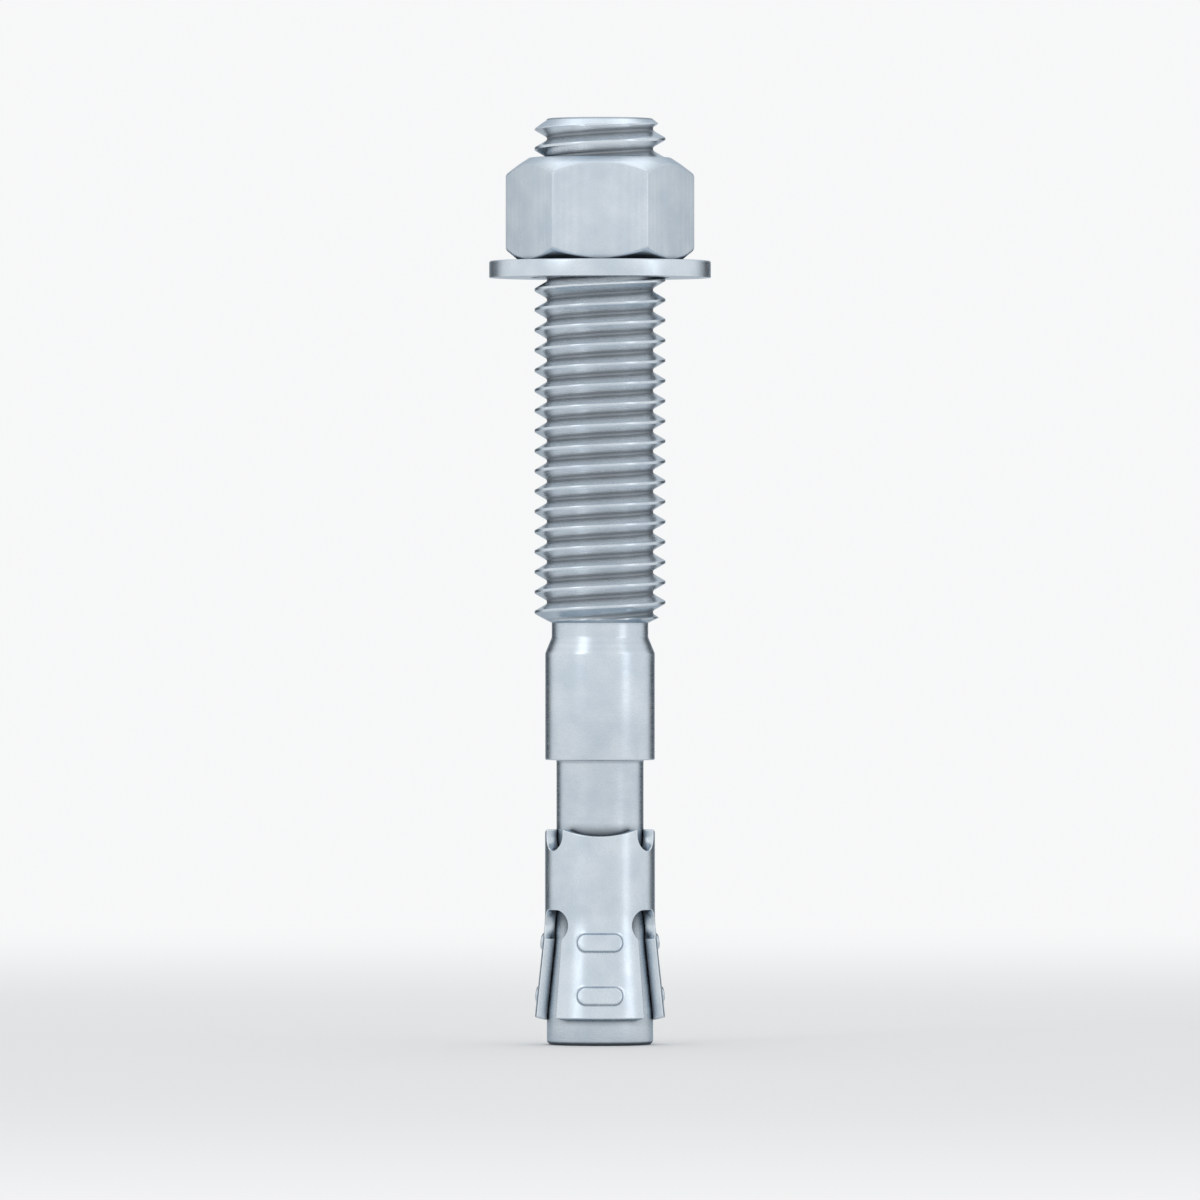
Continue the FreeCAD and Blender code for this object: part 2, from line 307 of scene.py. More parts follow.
def thread_radius(height, angle):
    """Radius of the stud's thread at a height and angle."""
    turns = (height - LEFT_CREST_HEIGHT) / PITCH - (angle - math.pi) / TURN
    off_crest = abs(turns - round(turns)) * PITCH
    flank = THREAD_RADIUS + (CREST_HALF_WIDTH - off_crest) * FLANK_SLOPE
    crested = blended_low(flank, THREAD_RADIUS, CREST_ROUNDING)
    return blended_high(crested, ROOT_RADIUS, ROOT_ROUNDING)


def thread_rows(low, high):
    """Heights of the thread's rows at angle zero, with turns to spare, and how many go to a pitch."""
    steps = sorted({-step for step in CREST_TO_ROOT_STEPS[1:-1]} | set(CREST_TO_ROOT_STEPS))
    crest = LEFT_CREST_HEIGHT - PITCH / 2
    first = math.floor((low - crest) / PITCH) - 2
    last = math.ceil((high - crest) / PITCH) + 1
    return [crest + PITCH * (turn + step) for turn in range(first, last) for step in steps], len(steps)


def thread_column(rows, angle, low, high):
    """Heights of one column of the thread, following its lead and kept between two heights."""
    return [min(max(row + PITCH * angle / TURN, low), high) for row in rows]


def thread_grid(angles, low, high, surface, limit, keep):
    """Points and faces of a threaded wall between two heights.

    surface gives the thread's radius and limit the plain form that it is cut into, and keep makes one
    radius of the two. The last column meets the first one a pitch further up, and rows that were
    pressed together at either height have no face.
    """
    rows, to_pitch = thread_rows(low, high)
    count = len(rows)
    points = []
    for angle in angles:
        for height in thread_column(rows, angle, low, high):
            radius = keep(surface(height, angle), limit(height), CUT_ROUNDING)
            points.append(around(radius, angle, height))
    faces = []
    for column in range(len(angles)):
        wraps = column == len(angles) - 1
        after = 0 if wraps else column + 1
        shift = to_pitch if wraps else 0
        for row in range(-shift, count - 1):
            near = [min(max(step, 0), count - 1) for step in (row, row + 1)]
            far = [min(max(step + shift, 0), count - 1) for step in (row, row + 1)]
            corners = (
                column * count + near[0],
                after * count + far[0],
                after * count + far[1],
                column * count + near[1],
            )
            if points[corners[0]] != points[corners[3]] or points[corners[1]] != points[corners[2]]:
                faces.append(corners)
    return points, faces


# Stud

def stud_limit(height):
    """Radius of the plain shank that the thread is cut from, with its end chamfer and run-out."""
    chamfer = POINT_RADIUS + (STUD_TOP - height) * POINT_SLOPE
    return min(chamfer, GROOVE_RADIUS + (height - GROOVE_TOP) * RUN_OUT_SLOPE)


def make_stud(material):
    """The stud, from the centre of its foot up to the centre of its end."""
    angles = even_angles(STUD_COLUMNS)
    below = rounded([
        (0, 0, 0),
        (FOOT_RADIUS, 0, FOOT_ROUNDING),
        (CONE_RADIUS, FOOT_EDGE, FOOT_ROUNDING),
        (CONE_RADIUS, CONE_LAND, LAND_ROUNDING),
        (NECK_RADIUS, CONE_TOP, NECK_ROUNDING),
        (NECK_RADIUS, COLLAR_BOTTOM, STEP_ROUNDING),
        (COLLAR_RADIUS, COLLAR_BOTTOM, STEP_ROUNDING),
        (COLLAR_RADIUS, COLLAR_TOP, SHOULDER_ROUNDING),
        (GROOVE_RADIUS, GROOVE_BOTTOM, GROOVE_ROUNDING),
        (GROOVE_RADIUS, GROOVE_TOP, 0),
    ])
    top = STUD_TOP - POINT_RIM
    above = rounded([
        (POINT_RADIUS + POINT_RIM * POINT_SLOPE, top, 0),
        (POINT_RADIUS, STUD_TOP, POINT_ROUNDING),
        (0, STUD_TOP, 0),
    ])
    thread = thread_grid(angles, GROOVE_TOP, top, thread_radius, stud_limit, blended_low)
    points, faces = joined(lathe(below, angles), thread, lathe(above, angles))
    return new_piece("threaded_stud", points, faces, material)


# Nut

def nut_angles():
    """Angles round the nut, closer together at its six rounded corners."""
    side = math.degrees(2 * NUT_HALF_SIDE) - 2 * NUT_SIDE_START
    even = [NUT_SIDE_START + side * step / NUT_SIDE_STEPS for step in range(NUT_SIDE_STEPS + 1)]
    steps = [math.radians(step) for step in (*NUT_CORNER_COLUMNS, *even)]
    return [TURN * corner / NUT_SIDES + step for corner in range(NUT_SIDES) for step in steps]


def hexagon_radius(angle):
    """Distance from the axis to the nut's side at an angle, with the corners rounded."""
    off_corner = (angle + NUT_HALF_SIDE) % (2 * NUT_HALF_SIDE) - NUT_HALF_SIDE
    flat = ACROSS_FLATS / 2 / math.cos(NUT_HALF_SIDE - abs(off_corner))
    centre = (ACROSS_FLATS / 2 - NUT_CORNER_ROUNDING) / math.cos(NUT_HALF_SIDE)
    inside = NUT_CORNER_ROUNDING ** 2 - (centre * math.sin(off_corner)) ** 2
    reach = math.asin(NUT_CORNER_ROUNDING * math.sin(NUT_HALF_SIDE) / centre)
    if inside < 0 or abs(off_corner) > reach:
        return flat
    return centre * math.cos(off_corner) + math.sqrt(inside)


def nut_surface(height, angle):
    """Radius of the nut's inner thread, which runs clear of the stud's."""
    wide = thread_radius(height, angle) + NUT_THREAD_GAP
    return blended_high(wide, NUT_MINOR_RADIUS, NUT_CREST_ROUNDING)


def nut_limit(height):
    """Radius of the two countersinks, which cut into the nut's thread at its ends."""
    return NUT_SINK_RADIUS - min(height - NUT_LOW.z, NUT_HIGH.z - height)


def make_nut(material):
    """The hexagon nut: turned corners, a crowned top and a true inner thread."""
    angles = nut_angles()
    flat = ACROSS_FLATS / 2
    corner = flat / math.cos(NUT_HALF_SIDE)
    foot = flat - NUT_FOOT_STEP
    shoulder = NUT_HEIGHT - NUT_CROWN_HEIGHT
    top_slope = (NUT_TOP_CUT - NUT_CROWN_HEIGHT) / (corner - flat)
    bottom_slope = NUT_BOTTOM_CUT / (corner - flat)
    points = []
    for angle in angles:
        side = hexagon_radius(angle)
        cut = side - foot
        edge = NUT_EDGE + cut * NUT_CORNER_EASE
        line = rounded([
            (NUT_SINK_RADIUS, 0, 0),
            (foot, 0, NUT_FOOT_ROUNDING),
            (side, cut * bottom_slope, edge),
            (side, shoulder - cut * top_slope, edge),
            (foot, shoulder, NUT_SHOULDER_ROUNDING),
            (NUT_CROWN_RADIUS, NUT_HEIGHT, NUT_CROWN_ROUNDING),
            (NUT_SINK_RADIUS, NUT_HEIGHT, 0),
        ])
        points += [around(radius, angle, NUT_LOW.z + height) for radius, height in line]
    outside = points, ring_faces(len(angles), len(line))
    bore = thread_grid(angles, NUT_LOW.z, NUT_HIGH.z, nut_surface, nut_limit, blended_high)
    points, faces = joined(outside, bore)
    return new_piece("hexagon_nut", points, faces, material)


# Washer

def make_washer(material):
    """The washer: rolled over at its upper edges, where the punch went in, and cut clean below."""
    low, high, outer = WASHER_LOW.z, WASHER_HIGH.z, WASHER_HIGH.x
    line = rounded([
        (WASHER_HOLE_RADIUS, (low + high) / 2, 0),
        (WASHER_HOLE_RADIUS, low, WASHER_CUT_EDGE),
        (outer, low, WASHER_CUT_EDGE),
        (outer, high, WASHER_ROLLED_EDGE),
        (WASHER_HOLE_RADIUS, high, WASHER_ROLLED_EDGE),
        (WASHER_HOLE_RADIUS, (low + high) / 2, 0),
    ])
    points, faces = lathe(line, even_angles(WASHER_COLUMNS))
    return new_piece("pressed_washer", points, faces, material)


# Clip: the flat blank's outline, as (distance round the sleeve, height from the bend line)

def arc(centre, radius, start, end):
    """Points along an arc in the flat, from one angle in radians to another."""
    x, z = centre
    count = max(ARC_LEAST_STEPS, round(abs(end - start) * radius / ARC_SPACING))
    angles = [start + (end - start) * step / count for step in range(count + 1)]
    return [(x + radius * math.cos(angle), z + radius * math.sin(angle)) for angle in angles]


def across(x):
    """Distance round the sleeve of a point that lies x to the side of a line up it."""
    return CLIP_RADIUS * math.asin(x / CLIP_RADIUS)


def notch_edge():
    """The notch in the upper edge, from its left rim down and up to its right rim, about a line up."""
    centre = SLEEVE_HEIGHT - NOTCH_DEPTH + NOTCH_RADIUS
    return [(across(x), z) for x, z in arc((0, centre), NOTCH_RADIUS, -math.pi, 0)]


def relief_edge():
    """The relief hole and the slot below it, from the left leaf's end up, over and down the right's."""
    slot = SLOT_HALF_ANGLE * CLIP_RADIUS
    meets = CLIP_RADIUS * math.sin(SLOT_HALF_ANGLE) - RELIEF_HALF_RUN
    leaves_at = -math.acos(meets / RELIEF_RADIUS)
    right = arc((RELIEF_HALF_RUN, -RELIEF_DROP), RELIEF_RADIUS, math.pi / 2, leaves_at)
    right = [(across(x), z) for x, z in right]
    left = [(-u, z) for u, z in reversed(right)]
    return [(-slot, -LEAF_LENGTH), *left, *right, (slot, -LEAF_LENGTH)]


def tab_height(u):
    """Height of a tab's hollow upper edge, at a distance round the sleeve from the tab's middle."""
    x = CLIP_RADIUS * math.sin(u / CLIP_RADIUS)
    return SLEEVE_HEIGHT - TAB_DIP + TAB_ARC_RADIUS - math.sqrt(TAB_ARC_RADIUS ** 2 - x * x)


def sheet_outline():
    """The blank's outline, anticlockwise: its slotted lower edge, then back along its notched upper one."""
    girth = SECTOR * LEAVES
    half_seam = across(SEAM_HALF_WIDTH)
    relief, notch = relief_edge(), notch_edge()
    middle = len(relief) // 2
    relief_top = RELIEF_RADIUS - RELIEF_DROP
    notch_floor = SLEEVE_HEIGHT - NOTCH_DEPTH

    lower = [(half_seam, relief_top)]
    lower += [(u, z) for u, z in relief[middle:] if u > half_seam]
    for slot in range(1, LEAVES):
        lower += [(slot * SECTOR + u, z) for u, z in relief]
    lower += [(girth + u, z) for u, z in relief[:middle] if u < -half_seam]
    lower.append((girth - half_seam, relief_top))

    half_tab = SECTOR / 2 + notch[0][0]
    tab = [half_tab - 2 * half_tab * step / TAB_STEPS for step in range(TAB_STEPS + 1)]
    upper = [(girth - half_seam, notch_floor)]
    upper += [(girth + u, z) for u, z in reversed(notch) if u < -half_seam]
    for leaf in reversed(range(LEAVES)):
        upper += [((leaf + 0.5) * SECTOR + u, tab_height(u)) for u in tab]
        if leaf:
            upper += [(leaf * SECTOR + u, z) for u, z in reversed(notch)]
    upper += [(u, z) for u, z in reversed(notch) if u > half_seam]
    upper.append((half_seam, notch_floor))
    return lower + upper


def evened(outline):
    """The closed outline with evenly spaced points, its sharp corners rounded off."""
    points = [Vector(place) for place in outline]
    pairs = zip(points, points[1:] + points[:1])
    points = [here for here, after in pairs if (after - here).length > SAME_POINT]
    smooth = []
    for before, here, after in zip(points[-1:] + points[:-1], points, points[1:] + points[:1]):
        if abs((here - before).angle_signed(after - here, 0)) < BLANK_CORNER_TURN:
            smooth.append(here)
        else:
            smooth += corner_curve(before, here, after, BLANK_CORNER_ROUNDING)
    line = []
    for here, after in zip(smooth, smooth[1:] + smooth[:1]):
        pieces = max(1, round((after - here).length / OUTLINE_SPACING))
        line += [here.lerp(after, step / pieces) for step in range(pieces)]
    return line


def inward(line):
    """For each point of a closed anticlockwise line, the unit direction into it."""
    ways = []
    for before, after in zip(line[-1:] + line[:-1], line[1:] + line[:1]):
        along = (after - before).normalized()
        ways.append(Vector((-along.y, along.x)))
    return ways


# Clip: the blank once it is embossed and rolled

def sleeve_radius(z):
    """Outer radius of the sheet at a height: straight above the bend, flared below it."""
    if z > BEND_HALF_LENGTH:
        return CLIP_RADIUS
    if z > -BEND_HALF_LENGTH:
        return CLIP_RADIUS + LEAF_SLOPE * (BEND_HALF_LENGTH - z) ** 2 / (4 * BEND_HALF_LENGTH)
    return CLIP_RADIUS - LEAF_SLOPE * z


def pill_distance(u, z):
    """Distance outside the nearest embossed pill's outline, below zero inside it."""
    off = (u % SECTOR) - SECTOR / 2
    scale = sleeve_radius(z) / CLIP_RADIUS
    run = max(abs(off * scale) - PILL_HALF_RUN, 0)
    return min(math.hypot(run, z + drop) for drop in PILL_DROPS) - PILL_RADIUS


def on_sheet(u, z, depth):
    """The place of a point of the blank, at a depth below its outer face, once it is rolled."""
    share = min(max(0.5 - pill_distance(u, z) / (2 * PILL_WALL), 0), 1)
    raised = PILL_HEIGHT * share * share * (3 - 2 * share)
    tilt = LEAF_END_TILT * max(-z, 0) / LEAF_LENGTH * depth / SHEET
    radius = sleeve_radius(z) + raised - depth
    return around(radius, BACK + u / CLIP_RADIUS, BEND_HEIGHT + z - tilt)


def sheet_normal(u, z, depth):
    """The way out of the rolled sheet's outer or inner face at a point of the blank."""
    along = Vector(on_sheet(u + NORMAL_STEP, z, depth)) - Vector(on_sheet(u - NORMAL_STEP, z, depth))
    up = Vector(on_sheet(u, z + NORMAL_STEP, depth)) - Vector(on_sheet(u, z - NORMAL_STEP, depth))
    out = along.cross(up).normalized()
    return out if depth == 0 else -out


# Clip: its mesh

def cut_edge():
    """The sheet's rounded edge, from its outer to its inner face, as (distance into it, depth)."""
    turns = [math.pi / 2 * step / SHEET_EDGE_STEPS for step in range(SHEET_EDGE_STEPS + 1)]
    outer = [(SHEET_EDGE * (1 - math.sin(turn)), SHEET_EDGE * (1 - math.cos(turn))) for turn in turns]
    return outer + [(inset, SHEET - depth) for inset, depth in reversed(outer)]


def pill_points():
    """Points along and beside the outline of every embossed pill, so that its wall is crisp."""
    points = []
    for drop in PILL_DROPS:
        scale = CLIP_RADIUS / sleeve_radius(-drop)
        for share in PILL_ROWS:
            radius = PILL_RADIUS + share * PILL_WALL
            ring = []
            for side in (1, -1):
                start = -side * math.pi / 2
                ring += arc((side * PILL_HALF_RUN, -drop), radius, start, start + math.pi)
            ring += [
                (PILL_HALF_RUN * (1 - 2 * step / PILL_RUN_STEPS), -drop + side * radius)
                for step in range(1, PILL_RUN_STEPS)
                for side in (-1, 1)
            ]
            points += [(u * scale + SECTOR * (leaf + 0.5), z) for u, z in ring for leaf in range(LEAVES)]
    return points


def grid_cell(point):
    """The column and row of the sheet's grid nearest to a point."""
    return round(point.x / SHEET_GRID), round(point.y / SHEET_GRID)


def inner_points(line):
    """Points that fill a closed line evenly, with those of the pills, all a little clear of the line."""
    low = Vector((min(point.x for point in line), min(point.y for point in line)))
    high = Vector((max(point.x for point in line), max(point.y for point in line)))
    grid = [
        Vector((low.x + SHEET_GRID * (column + 0.5), low.y + SHEET_GRID * (row + 0.5)))
        for column in range(math.ceil((high.x - low.x) / SHEET_GRID))
        for row in range(math.ceil((high.y - low.y) / SHEET_GRID))
    ]
    grid = [point for point in grid if abs(pill_distance(*point)) > PILL_WALL + PILL_MARGIN]
    cells = {}
    for point in line:
        cells.setdefault(grid_cell(point), []).append(point)

    def clear(point):
        """Whether a point is clear of the line, whose points are looked for in the nine cells about it."""
        column, row = grid_cell(point)
        around_it = [(column + right, row + up) for right in (-1, 0, 1) for up in (-1, 0, 1)]
        near = [other for cell in around_it for other in cells.get(cell, [])]
        return all((other - point).length > OUTLINE_MARGIN for other in near)

    return [point for point in grid + [Vector(place) for place in pill_points()] if clear(point)]


def make_clip(material):
    """The clip: the blank's two faces, rolled, and its rounded edge between them."""
    edge = evened(sheet_outline())
    ways = inward(edge)
    profile = cut_edge()
    points, normals = [], []
    for rim, way in zip(edge, ways):
        for inset, depth in profile:
            place = (*(rim + way * inset), depth)
            points.append(on_sheet(*place))
            normals.append(sheet_normal(*place) if depth in (0, SHEET) else Vector())
    faces = ring_faces(len(edge), len(profile))

    face_edge = [rim + way * SHEET_EDGE for rim, way in zip(edge, ways)]
    closed = [(index, (index + 1) % len(edge)) for index in range(len(edge))]
    flat, _, triangles, *_ = geometry.delaunay_2d_cdt(
        face_edge + inner_points(face_edge), closed, [], INSIDE_OUTLINE, SAME_CORNER
    )
    for depth, row in ((0, 0), (SHEET, len(profile) - 1)):
        start = len(points) - len(edge)
        for point in flat[len(edge):]:
            points.append(on_sheet(*point, depth))
            normals.append(sheet_normal(*point, depth))
        faces += [
            tuple(corner * len(profile) + row if corner < len(edge) else start + corner for corner in face)
            for face in triangles
        ]
    return new_piece("rolled_clip", points, faces, material, normals)


# Materials

class Graph:
    """A material's node graph, with short calls to add and join nodes."""

    def __init__(self, name):
        self.material = bpy.data.materials.new(name)
        self.material.use_nodes = True
        self.tree = self.material.node_tree
        self.shader = self.tree.nodes["Principled BSDF"]

    def add(self, kind, settings=None, **inputs):
        """A node of a kind; inputs are values, or sockets to link, by input name or number."""
        node = self.tree.nodes.new(f"ShaderNode{kind}")
        for key, value in (settings or {}).items():
            setattr(node, key, value)
        for key, value in inputs.items():
            socket = node.inputs[int(key[1:]) if key[1:].isdigit() else key.replace("_", " ")]
            self.give(socket, value)
        return node

    def give(self, socket, value):
        """Set an input, or link it if the value is another node's output."""
        if isinstance(value, bpy.types.NodeSocket):
            self.tree.links.new(value, socket)
        else:
            socket.default_value = value

    def math(self, operation, first, second):
        """Two numbers worked into one."""
        return self.add("Math", {"operation": operation}, _0=first, _1=second).outputs[0]

    def plus(self, first, second):
        """Two numbers added."""
        return self.math("ADD", first, second)

    def times(self, first, second):
        """Two numbers multiplied."""
        return self.math("MULTIPLY", first, second)

    def spread(self, value, low, high, to_low=0.0, to_high=1.0):
        """A value spread from one span to another, and held within it."""
        node = self.add(
            "MapRange", Value=value, From_Min=low, From_Max=high, To_Min=to_low, To_Max=to_high
        )
        return node.outputs["Result"]

    def mix(self, share, first, second):
        """Two colours mixed by a share."""
        return self.add("Mix", {"data_type": "RGBA"}, _0=share, _6=first, _7=second).outputs[2]

    def places(self, scale=(1, 1, 1)):
        """Places on the piece in millimetres, stretched by a scale."""
        where = self.add("TexCoord").outputs["Object"]
        return self.add("Mapping", Vector=where, Scale=[s / MM for s in scale]).outputs["Vector"]

    def off_axis(self):
        """Distance from the anchor's axis in millimetres."""
        flat = self.places((1, 1, 0))
        return self.add("VectorMath", {"operation": "LENGTH"}, _0=flat).outputs["Value"]

    def band(self, low, high, soft=0.6):
        """One between two heights in millimetres, nothing outside them."""
        up = self.add("SeparateXYZ", Vector=self.places()).outputs["Z"]
        above = self.spread(up, low - soft, low + soft)
        return self.times(above, self.spread(up, high - soft, high + soft, 1.0, 0.0))

    def noise(self, scale, detail, stretch=(1, 1, 1)):
        """Noise of so many waves to the millimetre."""
        return self.add("TexNoise", Vector=self.places(stretch), Scale=scale, Detail=detail).outputs["Fac"]

    def rings(self, scale):
        """The slightly uneven rings that a lathe leaves about the axis."""
        wave = self.add(
            "TexWave", {"wave_type": "RINGS", "rings_direction": "Z"},
            Vector=self.places(), Scale=scale, Distortion=0.6, Detail=2.0, Detail_Scale=0.6
        )
        return wave.outputs["Fac"]

    def openness(self, reach, samples, **settings):
        """How free of walls a place is within a reach in millimetres, outside the metal or inside it."""
        settings = {"samples": samples, **settings}
        return self.add("AmbientOcclusion", settings, Distance=reach * MM).outputs["AO"]


class Plating(Graph):
    """A metal's graph in layers, of its colour, of how dull it is and of the height of its relief."""

    def coat(self, share, colour):
        """Lay a colour over those below by a share."""
        self.colour = self.mix(share, self.colour, colour)

    def roughen(self, amount):
        """Make the metal duller."""
        self.dull = self.plus(self.dull, amount)

    def emboss(self, amount):
        """Add to the height of its relief."""
        self.height = self.plus(self.height, amount)

    def finished(self):
        """The material, with the layers on its shader."""
        bump = self.add("Bump", Strength=RELIEF_STRENGTH, Distance=RELIEF_DEPTH * MM, Height=self.height)
        self.shader.inputs["Metallic"].default_value = 1.0
        self.shader.inputs["Specular Tint"].default_value = ZINC_TINT
        self.give(self.shader.inputs["Base Color"], self.colour)
        self.give(self.shader.inputs["Roughness"], self.dull)
        self.give(self.shader.inputs["Normal"], bump.outputs["Normal"])
        return self.material


class Finish(NamedTuple):
    """What sets one piece's plating apart.

    grain is how close the fine lines of the metal's making lie along X, Y and Z, and turned is how deep
    the rings of a lathe show. gaps are the heights between which narrow gaps lie in shadow, and thread
    those that the thread lies between, the upper one being the piece's end.
    """

    grain: tuple
    roughness: float
    turned: float = 0.0
    gaps: tuple = None
    thread: tuple = None


ZINC = (0.617, 0.687, 0.753, 1)
COOL_ZINC = (0.59, 0.67, 0.745, 1)
WARM_ZINC = (0.7, 0.765, 0.82, 1)
# Painted light: paler zinc laid on the thread's closed-in flanks, lifting their shade
FLANK_LIGHT_ZINC = (0.92, 0.945, 0.965, 1)
# Paler zinc on the edges: partly wear, partly a painted highlight
WORN_HIGHLIT_ZINC = (0.84, 0.87, 0.9, 1)
ZINC_TINT = (0.5, 0.56, 0.62, 1)
# Painted shade: dark colour laid in the hollows and along the thread's root
HOLLOW_SHADE = (0.09, 0.105, 0.125, 1)
GAP_SHADOW = (0.05, 0.058, 0.07, 1)

# How bright the speckle, the end face and the rings are, as shares of the zinc's own colour, the end face's
# darkening being painted shade
SPECKLE_SHADE = 0.8
END_PAINTED_SHADE = 0.82
FINE_RINGS_SHADE = 0.72
COARSE_RINGS_SHADE = 0.62

# How far the look of a place depends on what is near it, in millimetres
GAP_REACH = 3.0
HOLLOW_SHADE_REACH = 0.7
EDGE_WEAR_HIGHLIGHT_REACH = 0.22

# How open a place is where a layer covers most, and where it ends
FLANK_LIGHT_OPENNESS = (0.5, 0.95)
HOLLOW_SHADE_OPENNESS = (0.48, 0.8)
GAP_OPENNESS = (0.76, 0.97)
EDGE_WEAR_HIGHLIGHT_OPENNESS = (0.6, 0.93)

# Waves to the millimetre of the clouds, the speckle, the lines and the grit
CLOUD_WAVES = 0.35
SPECKLE_WAVES = 7.0
LINE_WAVES = 2.2
GRIT_WAVES = 5.0

# Between which values of their noise the clouds, the speckle and the lines fade in
CLOUD_SPAN = (0.35, 0.68)
SPECKLE_SPAN = (0.4, 0.7)
LINE_SPAN = (0.3, 0.75)

# Scales that put a lathe's rings a quarter and three quarters of a millimetre apart
FINE_RINGS = 1.25
COARSE_RINGS = 0.42

# How much of the colours below it each layer covers at most
SPECKLE_COVER = 0.2
FLANK_LIGHT_COVER = 0.85
HOLLOW_SHADE_COVER = 0.92
ROOT_COVER = 0.8
GAP_COVER = 0.88
EDGE_WEAR_HIGHLIGHT_COVER = 0.45
END_SHADE_COVER = 0.15
FINE_RINGS_COVER = 0.22
COARSE_RINGS_COVER = 0.8

# How much glossier and duller the lines are than the finish, and what the hollows under painted shade and
# the end face add
LINE_GLOSS = 0.03
LINE_DULLNESS = 0.04
HOLLOW_DULLNESS = 0.2
END_DULLNESS = 0.16

# Relief, beside that of the lines, and the depth in millimetres and strength of it all
GRIT_HEIGHT = 0.6
COARSE_RINGS_HEIGHT = 1.6
RELIEF_DEPTH = 0.02
RELIEF_STRENGTH = 0.1

# Heights above the root between which its dark line of painted shade fades, and how far below the thread it
# starts
ROOT_LINE = (0.04, 0.16)
ROOT_LINE_LEAD = 0.4
ROOT_LINE_SOFTNESS = 0.2

# Heights about the upper end between which a place counts as its face
END_FACE = (-0.01, 1)
END_FACE_SOFTNESS = 0.02


def shade(colour, factor):
    """A colour made darker or lighter."""
    return [channel * factor for channel in colour[:3]] + [1]


def lay_zinc(plating, finish):
    """Zinc in cooler and warmer clouds with a fine darker speckle, and the lines of its making."""
    clouds = plating.spread(plating.noise(CLOUD_WAVES, detail=4.0), *CLOUD_SPAN)
    plating.colour = plating.mix(clouds, COOL_ZINC, WARM_ZINC)
    speckle = plating.spread(plating.noise(SPECKLE_WAVES, detail=2.0), *SPECKLE_SPAN)
    plating.coat(plating.times(speckle, SPECKLE_COVER), shade(ZINC, SPECKLE_SHADE))
    lines = plating.noise(LINE_WAVES, detail=3.0, stretch=finish.grain)
    glossy, matt = finish.roughness - LINE_GLOSS, finish.roughness + LINE_DULLNESS
    plating.dull = plating.spread(lines, *LINE_SPAN, to_low=glossy, to_high=matt)
    grit = plating.noise(GRIT_WAVES, detail=3.0)
    plating.height = plating.plus(lines, plating.times(grit, GRIT_HEIGHT))


def lay_flank_light(plating, around_it, thread):
    """Painted light on the thread's flanks: paler metal laid where they are closed in, lifting their shade.
    """
    flank_light = plating.spread(around_it, *FLANK_LIGHT_OPENNESS, to_low=FLANK_LIGHT_COVER, to_high=0.0)
    plating.coat(plating.times(flank_light, plating.band(*thread)), FLANK_LIGHT_ZINC)


def lay_hollow_shade(plating, thread):
    """Painted shade and duller metal in the hollows, and a dark line of painted shade along the thread's
    root.
    """
    hollow = plating.openness(HOLLOW_SHADE_REACH, samples=8)
    painted_shade = plating.spread(hollow, *HOLLOW_SHADE_OPENNESS, to_low=HOLLOW_SHADE_COVER, to_high=0.0)
    if thread:
        deep, shallow = [ROOT_RADIUS + height for height in ROOT_LINE]
        root = plating.spread(plating.off_axis(), deep, shallow, to_low=ROOT_COVER, to_high=0.0)
        cut = plating.band(thread[0] - ROOT_LINE_LEAD, thread[1], ROOT_LINE_SOFTNESS)
        painted_shade = plating.math("MAXIMUM", painted_shade, plating.times(root, cut))
    plating.coat(painted_shade, HOLLOW_SHADE)
    plating.roughen(plating.times(painted_shade, HOLLOW_DULLNESS))


def lay_gap_shadow(plating, around_it, gaps):
    """Shadow in the narrow gaps between two heights."""
    shadow = plating.spread(around_it, *GAP_OPENNESS, to_low=GAP_COVER, to_high=0.0)
    plating.coat(plating.times(shadow, plating.band(*gaps)), GAP_SHADOW)


def lay_worn_highlit_edges(plating):
    """Bright metal on the edges, partly where they are worn and partly a painted highlight."""
    solid = plating.openness(EDGE_WEAR_HIGHLIGHT_REACH, samples=8, inside=True, only_local=True)
    worn_highlit = plating.spread(solid, *EDGE_WEAR_HIGHLIGHT_OPENNESS, to_low=1.0, to_high=0.0)
    plating.coat(plating.times(worn_highlit, EDGE_WEAR_HIGHLIGHT_COVER), WORN_HIGHLIT_ZINC)


def lay_end_face_shade(plating, end):
    """Duller metal on the end face, where end is one, darkened by painted shade."""
    plating.roughen(plating.times(end, END_DULLNESS))
    plating.coat(plating.times(end, END_SHADE_COVER), shade(ZINC, END_PAINTED_SHADE))


def lay_fine_rings(plating, depth):
    """The fine rings of a lathe, so deep."""
    rings = plating.rings(FINE_RINGS)
    plating.emboss(plating.times(rings, depth))
    plating.coat(plating.times(rings, FINE_RINGS_COVER * depth), shade(ZINC, FINE_RINGS_SHADE))


def lay_coarse_rings(plating, end):
    """The coarse rings of the cut across the end face."""
    rings = plating.times(plating.rings(COARSE_RINGS), end)
    plating.emboss(plating.times(rings, COARSE_RINGS_HEIGHT))
    plating.coat(plating.times(rings, COARSE_RINGS_COVER), shade(ZINC, COARSE_RINGS_SHADE))


def zinc_plating(name, finish):
    """Bright zinc plating: pale blue-grey metal, cloudy, with painted shade and light in its dull hollows
    and a painted highlight on its worn edges.
    """
    plating = Plating(name)
    lay_zinc(plating, finish)
    if finish.gaps or finish.thread:
        around_it = plating.openness(GAP_REACH, samples=16)
    if finish.thread:
        lay_flank_light(plating, around_it, finish.thread)
    lay_hollow_shade(plating, finish.thread)
    if finish.gaps:
        lay_gap_shadow(plating, around_it, finish.gaps)
    lay_worn_highlit_edges(plating)
    if finish.thread:
        low, high = [finish.thread[1] + height for height in END_FACE]
        end = plating.band(low, high, END_FACE_SOFTNESS)
        lay_end_face_shade(plating, end)
    if finish.turned:
        lay_fine_rings(plating, finish.turned)
    if finish.thread:
        lay_coarse_rings(plating, end)
    return plating.finished()


